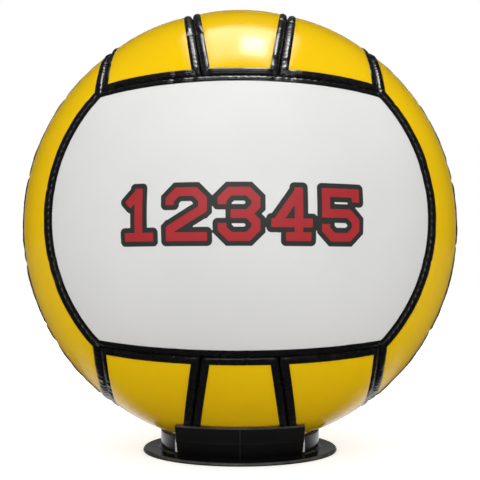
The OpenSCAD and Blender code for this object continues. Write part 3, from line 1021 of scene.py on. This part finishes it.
class BALL_OT_stage(bpy.types.Operator):
    """Lay the floor, hang the lamps and set up the camera"""

    bl_idname = "ball.stage"
    bl_label = "Floor, lamps and camera"

    def execute(self, context):
        stage = context.scene.stage_settings
        lens = bpy.data.cameras.new("camera")
        lens.sensor_width, lens.lens, lens.clip_start = 36.0, stage.lens, 0.01
        camera = in_scene("camera", lens)
        camera.location = (0.0, -stage.distance, stage.camera_height)
        camera.rotation_euler = Euler((pi / 2 + stage.tilt, 0, 0))
        context.scene.camera = camera
        context.scene.view_settings.view_transform = "Standard"
        self.floor()
        self.lamp("front_lamp", stage.key, (3.0, 1.0), (0.0, -1.5, 1.35), 52, False)
        self.lamp("strip_lamp", stage.strip, (1.2, 0.16), (0.0, -0.75, 1.18), 35, True)
        self.lamp("low_strip_lamp", stage.low, (1.1, 0.30), (0.0, -1.3, 0.42), 76, True)
        self.overhead(stage.window)
        self.room(context, stage.room)
        return {"FINISHED"}

    def lamp(self, name, power, size, place, tilt, glint):
        """A lamp that leans forward from straight down. It shows only as a glint, or lights without one."""
        lamp = bpy.data.lights.new(name, "AREA")
        lamp.shape, (lamp.size, lamp.size_y), lamp.energy = "RECTANGLE", size, power
        made = in_scene(name, lamp)
        made.location, made.rotation_euler = place, Euler((radians(tilt), 0, 0))
        made.visible_camera, made.visible_diffuse, made.visible_glossy = False, not glint, glint

    def sheet(self, name, material, low, high, face):
        """A flat rectangle between two corners, which faces up, or down if its corners run backwards."""
        mesh = bpy.data.meshes.new(name)
        mesh.from_pydata([(*low, 0), (high[0], low[1], 0), (*high, 0), (low[0], high[1], 0)], [], [face])
        mesh.materials.append(material)
        made = in_scene(name, mesh)
        return made

    def overhead(self, strength):
        """A glowing panel over the ball with soft borders and a brighter patch: the product of two smooth
        steps in each direction."""
        n, at = new_material("overhead_glow")
        x, y, _ = n.split(at)

        def window(value, low, high, blur):
            rise = n.spread(value, low - blur, low + blur)
            return n.times(rise, n.spread(value, high - blur, high + blur, 1.0, 0.0))

        wide = n.times(window(x, -0.26, 0.27, 0.05), window(y, -0.12, 0.52, 0.08), 0.8)
        bright = n.times(window(x, 0.015, 0.185, 0.02), window(y, -0.03, 0.27, 0.05), 2.3)
        n.put(n.surface, n.glow(n.times(n.plus(wide, bright), strength)))
        made = self.sheet("overhead_panel", n.owner, (-0.4, -0.25), (0.4, 0.75), (3, 2, 1, 0))
        made.location = (0.0, 0.0, 1.2)
        made.visible_camera = False

    def floor(self):
        """A wide pale floor that shows as white to the camera and still takes the object's shadow. Its glow
        is weaker inside the stand's ring, where it paints a shadow. Reflections see it pale only near and behind the
        ball."""
        n, at = new_material("pale_floor")
        x, y, _ = n.split(at)
        away = n.away(x, y)
        seen = n.add("ShaderNodeLightPath").outputs
        pale = n.add("ShaderNodeBsdfPrincipled", Base_Color=(0.72, 0.72, 0.72, 1), Roughness=0.9, Specular_IOR_Level=0.0)
        # The camera sees a glow that is dimmer inside the stand's ring: a painted shadow there
        camera_glow_with_painted_shadow = n.glow(n.times(seen["Is Camera Ray"], n.spread(away, 0.040, 0.052, 0.3, 0.66)))
        near = n.times(n.spread(away, 0.07, 0.16, 0.9, 0.08), n.spread(y, -0.02, 0.02, 0.02, 1.0))
        both = n.fill(n.add("ShaderNodeAddShader"), (0, 1), (pale.outputs[0], camera_glow_with_painted_shadow)).outputs[0]
        n.put(n.surface, n.blend(seen["Is Glossy Ray"], both, n.glow(near)))
        self.sheet("floor", n.owner, (-6, -6), (6, 6), (0, 1, 2, 3))

    def room(self, context, strength):
        """Even pale light from all round, which is white to the camera and through clear things. Reflections
        see a darker room that is paler behind the ball, so that white doesn't wash out the yellow."""
        world = bpy.data.worlds.new("room")
        context.scene.world = world
        n = Nodes(world, "World")
        y = n.split(n.place("Generated"))[1]
        behind = n.times(n.spread(y, 0.84, 0.98, 0.014, 0.22), n.spread(y, 0.975, 0.995, 1.0, 0.1))
        white, even, mirrored = (n.add("ShaderNodeBackground", Color=(1, 1, 1, 1), Strength=s).outputs[0]
                                 for s in (1.0, strength, behind))
        seen = n.add("ShaderNodeLightPath").outputs
        clear = n.math("MAXIMUM", seen["Is Camera Ray"], seen["Is Transmission Ray"])
        n.put(n.surface, n.blend(clear, n.blend(seen["Is Glossy Ray"], even, mirrored), white))


OPERATORS = [
    BALL_OT_stage, BALL_OT_stand, BALL_OT_panels, BALL_OT_edges, BALL_OT_thread, BALL_OT_number, BALL_OT_valve,
    BALL_OT_inside,
]


class BALL_PT_sidebar(bpy.types.Panel):
    """Lists the pieces of the ball and its stand"""

    bl_label = "Ball on Stand"
    bl_space_type = "VIEW_3D"
    bl_region_type = "UI"
    bl_category = "Ball"

    def draw(self, context):
        for operator in OPERATORS:
            self.layout.operator(operator.bl_idname)
        for key, group in SETTINGS.items():
            box = self.layout.box()
            for setting in group.__annotations__:
                box.prop(getattr(context.scene, key), setting)


SETTINGS = {"ball_settings": BallSettings, "stand_settings": StandSettings, "stage_settings": StageSettings}
CLASSES = (*SETTINGS.values(), *OPERATORS, BALL_PT_sidebar)


def register():
    for made in CLASSES:
        bpy.utils.register_class(made)
    for key, group in SETTINGS.items():
        setattr(bpy.types.Scene, key, PointerProperty(type=group))


def unregister():
    for key in SETTINGS:
        delattr(bpy.types.Scene, key)
    for made in reversed(CLASSES):
        bpy.utils.unregister_class(made)


def main():
    register()
    for operator in (bpy.ops.ball.stage, bpy.ops.ball.stand, bpy.ops.ball.panels, bpy.ops.ball.edges,
                     bpy.ops.ball.thread, bpy.ops.ball.number, bpy.ops.ball.valve, bpy.ops.ball.inside):
        operator()


if __name__ == "__main__":
    main()
